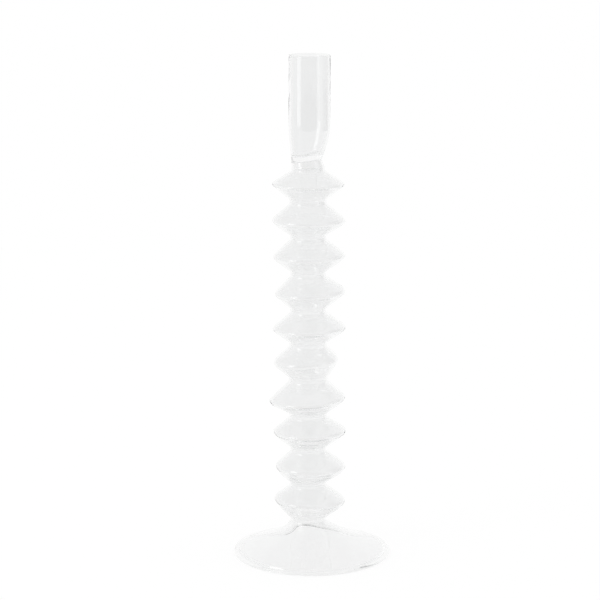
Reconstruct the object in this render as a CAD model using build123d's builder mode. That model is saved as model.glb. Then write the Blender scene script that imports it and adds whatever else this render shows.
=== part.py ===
from build123d import *
import os
from math import cos, hypot, pi, radians, sin

# A hand-formed candlestick in clear borosilicate glass: a foot, ten hollow discs and a candle cup,
# fused one on top of the other. Millimetres, +Z up, origin at the foot's centre on the table.

# ---- Foot
foot_radius = 50.0        # widest, at the rim's bead
foot_wall = 2.0           # the dome's glass
bead_height = 2.6         # the rolled rim, from the table to where the dome starts
bead_width = 4.2          # the rolled rim, in from the widest point
seat_width = 1.6          # the flat ground ring that stands on the table
foot_joint_z = 22.3       # where the foot ends and the lowest disc is fused on
lip_reach = 9.0           # the rim's inner curve runs at most this far in before the dome's wall
dome_flare = 1.55         # over 1: the dome steepens as it rises into the stem
shoulder_share = 0.6      # of the dome's rise: below it round the foot, above it drifting to the stem
stem_x = -2.4             # the stem stands this far beside the foot's centre

# ---- Stem: one line for each hollow disc, from the foot up
stem_wall = 1.25
neck_radius = 11.2        # outside, at the foot's joint
discs = [
    # height, equator above the disc's lower joint, radius, sideways, lean to -X (degrees), neck above,
    # and the soft edge round its underside: in from the widest point, below the equator
    (24.0, 13.5, 22.3, 1.0, -2.5, 11.7, 2.6, 4.9),
    (23.0, 11.5, 22.0, 1.6, -1.0, 11.5, 2.8, 4.9),
    (22.3, 11.6, 22.8, 1.0, 0.5, 12.0, 3.4, 4.6),
    (23.6, 9.9, 23.9, -0.4, 3.0, 12.3, 3.0, 3.2),
    (22.5, 11.7, 20.2, -1.5, 3.5, 12.0, 2.2, 4.6),
    (22.0, 10.2, 22.8, 0.7, 1.0, 11.3, 2.7, 3.4),
    (23.4, 11.3, 22.1, 1.3, 2.5, 11.2, 2.2, 3.4),
    (23.3, 11.0, 22.5, 0.7, 1.0, 11.4, 3.0, 4.0),
    (22.8, 10.5, 22.9, 0.4, -0.5, 11.7, 2.6, 3.7),
    (20.8, 10.7, 22.3, 0.1, -0.5, 10.4, 2.7, 3.7),
]
neck_under_disc = 1.0     # straight neck, from a joint up to the disc's underside
neck_over_disc = 1.9      # straight neck, from the disc's upper slope up to the next joint
tip_blend = 5.0           # how widely the two slopes are rounded together at the equator
edge_blend = 0.5          # the same for the soft edge, and for the turn into a neck
neck_blend = 0.9
rings_each_way = 9        # sections of a disc, below and above its equator

# ---- Candle cup
cup_height = 70.0         # from the top disc's joint to the mouth
cup_radius = 13.0
cup_wall = 1.35
cup_fullness = 0.6        # under 1: the cup rounds out quickly above the waist
cup_x = -1.5              # the cup's axis, beside the foot's centre
straight_length = 43.0    # true cylinder under the mouth, which holds the candle
waist_height = 4.6        # narrowest point of the drawn neck, above the joint
waist_radius = 9.6
waist_x = -3.2
floor_height = 6.4        # middle of the cup's floor, above the joint
floor_thickness = 1.6
floor_lean = 12.0         # degrees: the floor is fused on at a slant
floor_round = 2.2         # how far the cavity draws in towards the floor
mouth_round = 0.6         # fire-polished edge


def swell(share, fullness):
    """0 at a neck, 1 at the equator, and level at both."""
    return ((1 + cos(pi * share)) / 2) ** fullness


def ring(z, radius, x, lean=0.0):
    """A round section across the stem, leaning to -X by some degrees."""
    with BuildSketch(Plane((x, 0, z), z_dir=(-sin(radians(lean)), 0, cos(radians(lean))))) as section:
        Circle(radius)
    return section.sketch


def soft_min(first, second, blend):
    """The lesser of the two, rounded over where they meet."""
    near = max(blend - abs(first - second), 0)
    return min(first, second) - near**2 / (4 * blend)


def slope_line(start, end, z):
    """The radius at z on the straight line through two (radius, height) points."""
    return start[0] + (end[0] - start[0]) * (z - start[1]) / (end[1] - start[1])


def inner_radius(radius_at, z, wall):
    """The inside radius at a height, with the wall measured square to the sloping glass."""
    step = 0.05
    slope = (radius_at(z + step) - radius_at(z - step)) / (2 * step)
    return radius_at(z) - wall * hypot(1, slope)


os.makedirs("parts", exist_ok=True)

# ---- The foot: a flared dome with a rolled rim, open underneath and into the stem
dome_base = foot_radius - bead_height / 2
shoulder_z = bead_height + shoulder_share * (foot_joint_z - bead_height)


def dome_radius(z):
    """Outside of the dome at a height: the flare, then straight up past the joint."""
    left = min(max((foot_joint_z - z) / (foot_joint_z - bead_height), 0), 1)
    return neck_radius + (dome_base - neck_radius) * left**dome_flare


def dome_inside(z):
    return inner_radius(dome_radius, z, foot_wall)


def drift(z):
    """The collar's axis moves from the foot's centre to the stem's."""
    return stem_x * swell(1 - (z - shoulder_z) / (foot_joint_z - shoulder_z), 1)


dome_steps = 6
dome_levels = [bead_height + (shoulder_z - bead_height) * i / dome_steps for i in range(1, dome_steps + 1)]
collar_steps = 5
collar_levels = [shoulder_z + (foot_joint_z - shoulder_z) * i / collar_steps for i in range(collar_steps + 1)]
bead_inside = foot_radius - bead_width
seat_middle = foot_radius - bead_width / 2
underside = [(z, dome_inside(z)) for z in dome_levels if dome_inside(z) < bead_inside - 1]
while bead_inside - underside[0][1] > lip_reach:
    lower_z = (bead_height + underside[0][0]) / 2
    underside.insert(0, (lower_z, dome_inside(lower_z)))

with BuildPart() as foot:
    with BuildSketch(Plane.XZ) as foot_profile:
        with BuildLine() as foot_outline:
            seat = Line((seat_middle - seat_width / 2, 0), (seat_middle + seat_width / 2, 0))
            rim = ThreePointArc(seat @ 1, (foot_radius, bead_height * 0.45), (dome_base, bead_height))
            dome = Spline([rim @ 1] + [(dome_radius(z), z) for z in dome_levels])
            crown = Line(dome @ 1, (dome_inside(shoulder_z), shoulder_z))
            hollow = Spline([crown @ 1] + [(r, z) for z, r in reversed(underside[:-1])])
            lip = ThreePointArc(hollow @ 1, (bead_inside, bead_height * 0.7), seat @ 0)
        make_face()
    revolve(axis=Axis.Z)
    loft(sections=[ring(z, dome_radius(z), drift(z)) for z in collar_levels])
    loft(sections=[ring(z, dome_inside(z), drift(z)) for z in collar_levels], mode=Mode.SUBTRACT)

foot.part.label = "foot"
export_step(foot.part, "parts/foot.step")

# ---- The discs: hollow, each from the middle of one neck to the middle of the next
joint_z = foot_joint_z
neck_below = neck_radius
for number, sizes in enumerate(discs, start=1):
    height, rise, radius, sideways, lean, neck_above, edge_in, edge_drop = sizes
    equator_z = joint_z + rise
    top_z = joint_z + height
    foot_of_slope = (neck_below, joint_z + neck_under_disc)
    soft_edge = (radius - edge_in, equator_z - edge_drop)
    tip = (radius + tip_blend / 4, equator_z)
    head_of_slope = (neck_above, top_z - neck_over_disc)

    def disc_radius(z):
        underside = slope_line(foot_of_slope, soft_edge, z)
        flank = slope_line(soft_edge, tip, z)
        upper_side = slope_line(tip, head_of_slope, z)
        slopes = soft_min(soft_min(underside, flank, edge_blend), upper_side, tip_blend)
        neck = neck_below if z < equator_z else neck_above
        return -soft_min(-slopes, -neck, neck_blend)

    def swell_at(z):
        """0 at the two joints, 1 at the equator: how far the disc is moved and leant there."""
        run = rise if z < equator_z else height - rise
        return swell(max(-1, min(1, (z - equator_z) / run)), 1)

    shares = [i / rings_each_way for i in range(-rings_each_way, rings_each_way + 1)]
    levels = [equator_z + share * (rise if share < 0 else height - rise) for share in shares]
    outside = [ring(z, disc_radius(z), stem_x + sideways * swell_at(z), lean * swell_at(z)) for z in levels]
    inside = [
        ring(z, inner_radius(disc_radius, z, stem_wall), stem_x + sideways * swell_at(z), lean * swell_at(z))
        for z in levels
    ]
    with BuildPart() as disc:
        loft(sections=outside)
        loft(sections=inside, mode=Mode.SUBTRACT)

    name = f"stem_disc_{number:02d}"
    disc.part.label = name
    export_step(disc.part, f"parts/{name}.step")
    joint_z = top_z
    neck_below = neck_above

# ---- The candle cup: a tube with a drawn neck and a closed, slanting floor
straight_z = joint_z + cup_height - straight_length
waist_z = joint_z + waist_height
floor_z = joint_z + floor_height
mouth_z = joint_z + cup_height


def blend(low, high, share):
    return low + (high - low) * share


def cup_share(z):
    """0 at the waist, 1 where the straight tube starts."""
    return swell(1 - (z - waist_z) / (straight_z - waist_z), cup_fullness)


def cup_outside(z):
    if z < waist_z:
        return blend(neck_below, waist_radius, swell(1 - (z - joint_z) / waist_height, 1))
    return blend(waist_radius, cup_radius, cup_share(z))


def cup_axis(z):
    if z < waist_z:
        return blend(stem_x, waist_x, swell(1 - (z - joint_z) / waist_height, 1))
    return blend(waist_x, cup_x, cup_share(z))


def cup_section(z, inset=0.0, lean=0.0):
    return ring(z, cup_outside(z) - inset, cup_axis(z), lean)


neck_levels = [blend(joint_z, waist_z, i / 3) for i in range(3)]
rise_levels = [blend(waist_z, straight_z, i / 8) for i in range(9)]
pocket_top = floor_z - floor_thickness / 2
cavity_floor = floor_z + floor_thickness / 2
cavity_levels = [blend(cavity_floor, straight_z, i / 6) for i in range(2, 7)]

with BuildPart() as candle_cup:
    loft(sections=[cup_section(z) for z in neck_levels + rise_levels])
    with BuildSketch(Plane((cup_x, 0, straight_z))) as tube_section:
        Circle(cup_radius)
    extrude(amount=straight_length)
    loft(
        sections=[
            cup_section(joint_z, cup_wall),
            cup_section(blend(joint_z, pocket_top, 0.5), cup_wall, floor_lean / 2),
            cup_section(pocket_top, cup_wall + floor_round / 2, floor_lean),
        ],
        mode=Mode.SUBTRACT,
    )
    loft(
        sections=[
            cup_section(cavity_floor, cup_wall + floor_round, floor_lean),
            cup_section(blend(cavity_floor, cavity_levels[0], 0.4), cup_wall + floor_round / 4, floor_lean * 0.7),
        ]
        + [cup_section(z, cup_wall) for z in cavity_levels],
        mode=Mode.SUBTRACT,
    )
    with BuildSketch(Plane((cup_x, 0, straight_z))) as bore_section:
        Circle(cup_radius - cup_wall)
    extrude(amount=straight_length, mode=Mode.SUBTRACT)
    fillet(candle_cup.edges().group_by(Axis.Z)[-1], radius=mouth_round)

candle_cup.part.label = "candle_cup"
export_step(candle_cup.part, "parts/candle_cup.step")
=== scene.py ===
from math import cos, hypot, pi, radians, sin

import bmesh
import bpy
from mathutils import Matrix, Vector


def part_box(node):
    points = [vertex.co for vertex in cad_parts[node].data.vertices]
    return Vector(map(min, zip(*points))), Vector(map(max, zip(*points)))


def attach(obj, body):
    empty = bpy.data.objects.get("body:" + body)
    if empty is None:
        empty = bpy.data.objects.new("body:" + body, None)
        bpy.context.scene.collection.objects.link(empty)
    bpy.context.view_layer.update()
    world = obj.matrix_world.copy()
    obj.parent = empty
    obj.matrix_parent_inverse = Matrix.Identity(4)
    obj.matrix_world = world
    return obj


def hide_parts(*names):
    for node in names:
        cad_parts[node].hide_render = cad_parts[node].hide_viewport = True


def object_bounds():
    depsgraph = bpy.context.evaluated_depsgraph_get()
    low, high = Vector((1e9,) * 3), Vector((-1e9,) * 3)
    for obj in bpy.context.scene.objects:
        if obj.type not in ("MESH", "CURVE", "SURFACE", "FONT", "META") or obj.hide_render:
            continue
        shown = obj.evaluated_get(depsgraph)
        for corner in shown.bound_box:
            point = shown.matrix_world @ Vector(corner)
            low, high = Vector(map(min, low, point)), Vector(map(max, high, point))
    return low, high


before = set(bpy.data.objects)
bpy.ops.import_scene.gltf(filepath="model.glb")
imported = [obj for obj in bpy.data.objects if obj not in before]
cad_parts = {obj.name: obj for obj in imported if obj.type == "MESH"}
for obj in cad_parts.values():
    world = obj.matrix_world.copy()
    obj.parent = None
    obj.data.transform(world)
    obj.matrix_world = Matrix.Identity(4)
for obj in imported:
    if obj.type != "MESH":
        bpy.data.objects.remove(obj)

mm = 0.001
cad_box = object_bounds()
overall_height = cad_box[1][2] - cad_box[0][2]

# ---- The view
# The candlestick is seen from a little above its mouth and from well back, through a long lens,
# so the mouth is a thin ellipse and the foot a wide one.
camera_distance = 4.0 * overall_height
camera_height = 1.334 * overall_height
camera_tilt = 11.53  # degrees down
camera_lens = 124.3  # mm, on a 36 mm sensor
frame_shift = -0.0198  # the object stands a little right of the middle
glass_bounces = 100
camera = bpy.data.objects.new("camera", bpy.data.cameras.new("camera"))
camera.location = (0, -camera_distance, camera_height)
camera.rotation_euler = (radians(90 - camera_tilt), 0, 0)
camera.data.lens = camera_lens
camera.data.sensor_width = 36
camera.data.shift_x = frame_shift
camera.data.clip_start = 0.05
bpy.context.collection.objects.link(camera)
bpy.context.scene.camera = camera
bpy.context.scene.view_settings.view_transform = "Standard"
# Light crosses many glass walls here, and runs a long way inside them before it leaves.
bpy.context.scene.cycles.max_bounces = glass_bounces
bpy.context.scene.cycles.transmission_bounces = glass_bounces
bpy.context.scene.cycles.glossy_bounces = glass_bounces
bpy.context.scene.cycles.transparent_max_bounces = 64


# ---- The studio
# A white surround and a white table, with a soft light on the left. The surround is greyer in
# front, to the right and overhead, so that the clear glass has something to mirror.
class Socket:
    """A shader value that Python's operators can work on."""

    def __init__(self, tree, socket):
        self.tree = tree
        self.socket = socket

    def math(self, operation, *values):
        return self.tree.node("ShaderNodeMath", dict(operation=operation), *values)

    def output(self, name):
        """Another output of the node that this value comes from."""
        return Socket(self.tree, self.socket.node.outputs[name])

    def __add__(self, other):
        return self.math("ADD", self, other)

    def __sub__(self, other):
        return self.math("SUBTRACT", self, other)

    def __rsub__(self, other):
        return self.math("SUBTRACT", other, self)

    def __mul__(self, other):
        return self.math("MULTIPLY", self, other)

    def __rmul__(self, other):
        return self.math("MULTIPLY", other, self)

    def step(self, start, end):
        """0 below start, 1 above end, and smooth between."""
        settings = dict(interpolation_type="SMOOTHSTEP")
        return self.tree.node("ShaderNodeMapRange", settings, self, start, end, 0.0, 1.0)


class Nodes:
    """A node tree that nodes are added to by type, settings and inputs."""

    def __init__(self, tree):
        self.tree = tree
        tree.nodes.clear()

    def node(self, kind, settings=None, *values, out=0, **named):
        made = self.tree.nodes.new(kind)
        for key, value in (settings or {}).items():
            setattr(made, key, value)
        for key, value in list(enumerate(values)) + list(named.items()):
            socket = made.inputs[key.replace("_", " ") if isinstance(key, str) else key]
            if isinstance(value, Socket):
                self.tree.links.new(value.socket, socket)
            elif value is not None:
                socket.default_value = value
        return Socket(self, made.outputs[out]) if len(made.outputs) else made


front_grey = 0.8  # how far each part of the surround is below white, as a share
right_grey = 0.7
overhead_grey = 0.2
white_through_glass = 0.45  # how far that grey is lifted for what is seen through the glass
world = bpy.data.worlds.new("studio")
world.use_nodes = True
bpy.context.scene.world = world
sky = Nodes(world.node_tree)
toward = sky.node("ShaderNodeTexCoord", None, out="Generated")
right = sky.node("ShaderNodeSeparateXYZ", None, toward)
back = right.output("Y")
up = right.output("Z")
front = (0 - back).step(0.3, 0.8)
right_gap = right.step(0.45, 0.75) * back.step(-0.35, 0.0) * (1 - back.step(0.35, 0.75))
overhead = up.step(0.45, 0.8) * (1 - front)
tone = 1.0 - front_grey * front - right_grey * right_gap - overhead_grey * overhead
direct = sky.node("ShaderNodeLightPath", None, out="Is Camera Ray")
on_table = direct.output("Is Diffuse Ray")
through_glass = direct.output("Is Transmission Ray")
whitened = direct.math("MAXIMUM", direct, on_table)
whitened = direct.math("MAXIMUM", whitened, through_glass * white_through_glass)
strength = whitened + (1 - whitened) * tone
background = sky.node("ShaderNodeBackground", None, (1, 1, 1, 1), strength)
sky.node("ShaderNodeOutputWorld", None, background)

left_light = bpy.data.objects.new("left_softbox", bpy.data.lights.new("left_softbox", "AREA"))
left_light.data.shape = "RECTANGLE"
left_light.data.size = 0.5
left_light.data.size_y = 0.9
left_light.data.energy = 2.5
left_light.location = (-1.0, -0.6, 0.55)
left_light.rotation_euler = Vector((1.0, 0.6, -0.35)).to_track_quat("-Z", "Y").to_euler()
bpy.context.collection.objects.link(left_light)

floor_reach = 1.1  # metres, from the object to the floor's edge
floor_glow = 0.92  # the share of the floor's white that no shadow darkens
floor_mesh = bpy.data.meshes.new("floor")
shape = bmesh.new()
bmesh.ops.create_grid(shape, x_segments=1, y_segments=1, size=floor_reach)
shape.to_mesh(floor_mesh)
shape.free()
floor = bpy.data.objects.new("floor", floor_mesh)
bpy.context.collection.objects.link(floor)
floor_mesh.materials.append(bpy.data.materials.new("floor"))
floor_mesh.materials[0].use_nodes = True
pale = Nodes(floor_mesh.materials[0].node_tree)
shadowed = pale.node("ShaderNodeBsdfDiffuse", None, (1, 1, 1, 1))
glow = pale.node("ShaderNodeEmission", None, (1, 1, 1, 1), 1.0)
surface = pale.node("ShaderNodeMixShader", None, floor_glow, shadowed, glow)
pale.node("ShaderNodeOutputMaterial", None, surface)

# ---- The glass, and the foot
# Clear borosilicate. The foot is a thin flared dome with a rolled rim, drawn up into a collar
# on which the lowest disc is fused.
glass_tint = (0.935, 0.937, 0.937, 1)
glass_ior = 1.47
ripple_scale = 28.0
ripple_strength = 0.05
glass = bpy.data.materials.new("clear_glass")
glass.use_nodes = True
clear = Nodes(glass.node_tree)
place = clear.node("ShaderNodeTexCoord", None, out="Object")
ripple = clear.node("ShaderNodeTexNoise", None, place, Scale=ripple_scale, Detail=1.0)
wave = clear.node("ShaderNodeBump", None, Strength=ripple_strength, Distance=0.001, Height=ripple)
melt = clear.node(
    "ShaderNodeBsdfPrincipled",
    None,
    Base_Color=glass_tint,
    Roughness=0.0,
    IOR=glass_ior,
    Transmission_Weight=1.0,
    Normal=wave,
)
clear.node("ShaderNodeOutputMaterial", None, melt)

# Where two pieces are fused, their touching faces are see-through, so the wall has no break.
fused = bpy.data.materials.new("fused_joint")
fused.use_nodes = True
joint = Nodes(fused.node_tree)
joint.node("ShaderNodeOutputMaterial", None, joint.node("ShaderNodeBsdfTransparent", None, (1, 1, 1, 1)))


def swell(share, fullness=1.0):
    """0 where share is 1 or -1, 1 where it is 0, and level at all three."""
    return ((1 + cos(pi * share)) / 2) ** fullness


def blend_of(start, end, share):
    return start + (end - start) * share


def inset(line, wall):
    """The inside line of a wall: every point of the outside line moved in, square to it."""
    moved = []
    for index, (radius, z) in enumerate(line):
        before = line[max(index - 1, 0)]
        after = line[min(index + 1, len(line) - 1)]
        run = (after[0] - before[0], after[1] - before[1])
        length = hypot(*run)
        moved.append((radius - wall * run[1] / length, z + wall * run[0] / length))
    moved[0] = (moved[0][0], line[0][1])
    moved[-1] = (moved[-1][0], line[-1][1])
    return moved


def turned(line, axis_gap=None):
    """A wall turned about Z from its closed cut line of (radius, height), as a bmesh. Where two of
    its points are on the axis, axis_gap is the first of them, and no edge joins them."""
    shape = bmesh.new()
    points = [shape.verts.new((radius, 0, z)) for radius, z in line]
    pairs = list(zip(points, points[1:] + points[:1]))
    if axis_gap is not None:
        pairs.pop(axis_gap)
    edges = [shape.edges.new(pair) for pair in pairs]
    bmesh.ops.spin(
        shape,
        geom=points + edges,
        cent=(0, 0, 0),
        axis=(0, 0, 1),
        angle=2 * pi,
        steps=144,
        use_merge=True,
    )
    bmesh.ops.remove_doubles(shape, verts=shape.verts, dist=1e-7)
    bmesh.ops.recalc_face_normals(shape, faces=shape.faces)
    return shape


def finish_piece(name, shape, node, joints=()):
    for face in shape.faces:
        middle = face.calc_center_median()
        flat = any(abs(middle.z - z) < 1e-6 for z in joints) and abs(face.normal.z) > 0.99
        face.material_index = 1 if flat else 0
        face.smooth = not flat
        if flat:
            for edge in face.edges:
                edge.smooth = False
    mesh = bpy.data.meshes.new(name)
    shape.to_mesh(mesh)
    shape.free()
    mesh.materials.append(glass)
    mesh.materials.append(fused)
    piece = bpy.data.objects.new(name, mesh)
    bpy.context.collection.objects.link(piece)
    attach(piece, "root")
    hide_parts(node)
    return piece


foot_low, foot_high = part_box("foot")
foot_radius = (foot_high[1] - foot_low[1]) / 2
foot_joint = foot_high[2]
neck_radius = 11.2 * mm
bead_height = 2.6 * mm
bead_width = 4.2 * mm
foot_wall = 2.0 * mm
dome_flare = 1.55
stem_x = -2.4 * mm
dome_base = foot_radius - bead_height / 2


def dome_radius(z):
    left = min(max((foot_joint - z) / (foot_joint - bead_height), 0), 1)
    return neck_radius + (dome_base - neck_radius) * left**dome_flare


def arc(centre_r, centre_z, across, tall, start, end, steps):
    """Points of an elliptical arc, by its angles in degrees."""
    angles = [radians(start + (end - start) * i / steps) for i in range(steps + 1)]
    return [(centre_r + across * cos(a), centre_z + tall * sin(a)) for a in angles]


rim_across, rim_tall = 1.7 * mm, 1.3 * mm  # half the rolled rim's size outside, and inside
lip_across, lip_tall = 0.9 * mm, 1.1 * mm
rim = arc(foot_radius - rim_across, rim_tall, rim_across, rim_tall, -90, 75, 14)
levels = [blend_of(rim[-1][1], foot_joint, (i / 48) ** 1.2) for i in range(1, 49)]
dome_line = [(dome_radius(z), z) for z in levels]
inner = inset(dome_line, foot_wall)
bead_inside = foot_radius - bead_width
under = [point for point in reversed(inner) if point[0] < bead_inside - 0.8 * mm]
lip = arc(bead_inside + lip_across, lip_tall, lip_across, lip_tall, 150, 270, 8)
shape = turned(rim + dome_line + under + lip)
shoulder = blend_of(bead_height, foot_joint, 0.5)  # above it, the collar drifts to the stem
for vertex in shape.verts:
    share = min(max((vertex.co.z - shoulder) / (foot_joint - shoulder), 0), 1)
    vertex.co.x += stem_x * swell(1 - share)
finish_piece("glass_foot", shape, "foot", [foot_joint])

# ---- The discs
# Ten hollow discs, blown and pressed together while soft, so each has its own height, width,
# lean and fullness. Each runs from the middle of one fused neck to the middle of the next.
stem_wall = 1.25 * mm
neck_radii = [11.2, 11.7, 11.5, 12.0, 12.3, 12.0, 11.3, 11.2, 11.4, 11.7, 10.4]
equator_rises = [13.5, 11.5, 11.6, 9.9, 11.7, 10.2, 11.3, 11.0, 10.5, 10.7]
sideways = [1.0, 1.6, 1.0, -0.4, -1.5, 0.7, 1.3, 0.7, 0.4, 0.1]
leans = [-2.5, -1.0, 0.5, 3.0, 3.5, 1.0, 2.5, 1.0, -0.5, -0.5]  # degrees, to -X
edge_ins = [2.6, 2.8, 3.4, 3.0, 2.2, 2.7, 2.2, 3.0, 2.6, 2.7]  # the soft edge, in from the widest
edge_drops = [4.9, 4.9, 4.6, 3.2, 4.6, 3.4, 3.4, 4.0, 3.7, 3.7]  # and below the equator
neck_under_disc = 1.0 * mm
neck_over_disc = 1.9 * mm
tip_blend = 5.0 * mm
edge_blend = 0.5 * mm
neck_blend = 0.9 * mm
disc_rings = 72


def soft_min(first, second, blend):
    """The lesser of the two, rounded over where they meet."""
    near = max(blend - abs(first - second), 0)
    return min(first, second) - near**2 / (4 * blend)


def slope_line(start, end, z):
    """The radius at z on the straight line through two (radius, height) points."""
    return start[0] + (end[0] - start[0]) * (z - start[1]) / (end[1] - start[1])


for index in range(10):
    node = f"stem_disc_{index + 1:02d}"
    disc_low, disc_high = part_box(node)
    bottom, top = disc_low[2], disc_high[2]
    radius = (disc_high[1] - disc_low[1]) / 2
    equator = bottom + equator_rises[index] * mm
    neck_below = neck_radii[index] * mm
    neck_above = neck_radii[index + 1] * mm
    foot_of_slope = (neck_below, bottom + neck_under_disc)
    soft_edge = (radius - edge_ins[index] * mm, equator - edge_drops[index] * mm)
    tip = (radius + tip_blend / 4, equator)
    head_of_slope = (neck_above, top - neck_over_disc)

    def disc_radius(z):
        underside = slope_line(foot_of_slope, soft_edge, z)
        flank = slope_line(soft_edge, tip, z)
        upper_side = slope_line(tip, head_of_slope, z)
        slopes = soft_min(soft_min(underside, flank, edge_blend), upper_side, tip_blend)
        neck = neck_below if z < equator else neck_above
        return -soft_min(-slopes, -neck, neck_blend)

    levels = [blend_of(bottom, top, i / disc_rings) for i in range(disc_rings + 1)]
    outside = [(disc_radius(z), z) for z in levels]
    shape = turned(outside + list(reversed(inset(outside, stem_wall))))
    lean = radians(leans[index])
    for vertex in shape.verts:
        run = equator - bottom if vertex.co.z < equator else top - equator
        share = swell((vertex.co.z - equator) / run)
        vertex.co.z += lean * share * vertex.co.x
        vertex.co.x += stem_x + sideways[index] * mm * share
    finish_piece(f"glass_disc_{index + 1:02d}", shape, node, [bottom, top])

# ---- The candle cup
# A straight tube with a fire-polished mouth, rounded in below to a drawn neck, and closed by
# a floor that was fused on at a slant.
cup_low, cup_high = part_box("candle_cup")
cup_bottom, cup_top = cup_low[2], cup_high[2]
cup_radius = (cup_high[1] - cup_low[1]) / 2
cup_wall = 1.35 * mm
cup_x = -1.5 * mm
waist_x = -3.2 * mm
waist_radius = 9.6 * mm
waist = cup_bottom + 4.6 * mm
straight = cup_top - 43.0 * mm
cup_fullness = 0.6
floor_z = cup_bottom + 6.4 * mm
floor_half = 0.8 * mm
floor_lean = radians(12)
floor_spread = 6 * mm  # how far above and below the floor its slant dies out
mouth_round = 0.65 * mm


def waist_share(z):
    """0 at the joint with the top disc, 1 at the waist."""
    return swell(1 - (z - cup_bottom) / (waist - cup_bottom))


def cup_share(z):
    """0 at the waist, 1 where the straight tube starts."""
    return swell(1 - (z - waist) / (straight - waist), cup_fullness)


def cup_outside(z):
    if z < waist:
        return blend_of(neck_radii[10] * mm, waist_radius, waist_share(z))
    if z < straight:
        return blend_of(waist_radius, cup_radius, cup_share(z))
    return cup_radius


def cup_axis(z):
    if z < waist:
        return blend_of(stem_x, waist_x, waist_share(z))
    if z < straight:
        return blend_of(waist_x, cup_x, cup_share(z))
    return cup_x


levels = [blend_of(cup_bottom, straight, i / 56) for i in range(57)]
wall_line = [(cup_outside(z), z) for z in levels]
mouth = arc(cup_radius - cup_wall / 2, cup_top - mouth_round, cup_wall / 2, mouth_round, 0, 180, 12)
inner = inset(wall_line, cup_wall)
pocket = [point for point in inner if point[1] < floor_z - floor_half - 1.2 * mm]
pocket_radius = pocket[-1][0]
cavity = [point for point in inner if point[1] > floor_z + floor_half + 2.2 * mm]
cavity_radius = cavity[0][0]
pocket_top = arc(0, pocket[-1][1], pocket_radius, floor_z - floor_half - pocket[-1][1], 0, 90, 12)
cavity_floor = arc(0, cavity[0][1], cavity_radius, floor_z + floor_half - cavity[0][1], 90, 0, 16)
line = wall_line + mouth + list(reversed(cavity)) + list(reversed(cavity_floor))[1:]
line += list(reversed(pocket_top)) + list(reversed(pocket))[1:]
line = [(max(radius, 0), z) for radius, z in line]
shape = turned(line, axis_gap=len(wall_line + mouth + cavity + cavity_floor) - 2)
for vertex in shape.verts:
    height = vertex.co.z
    near_floor = max(0.0, 1 - abs(height - floor_z) / floor_spread)
    inside = vertex.co.xy.length < cup_outside(height) - 0.5 * cup_wall
    vertex.co.x += cup_axis(height)
    if inside:
        vertex.co.z += (vertex.co.x - cup_axis(height)) * floor_lean * swell(1 - near_floor)
finish_piece("glass_cup", shape, "candle_cup", [cup_bottom])
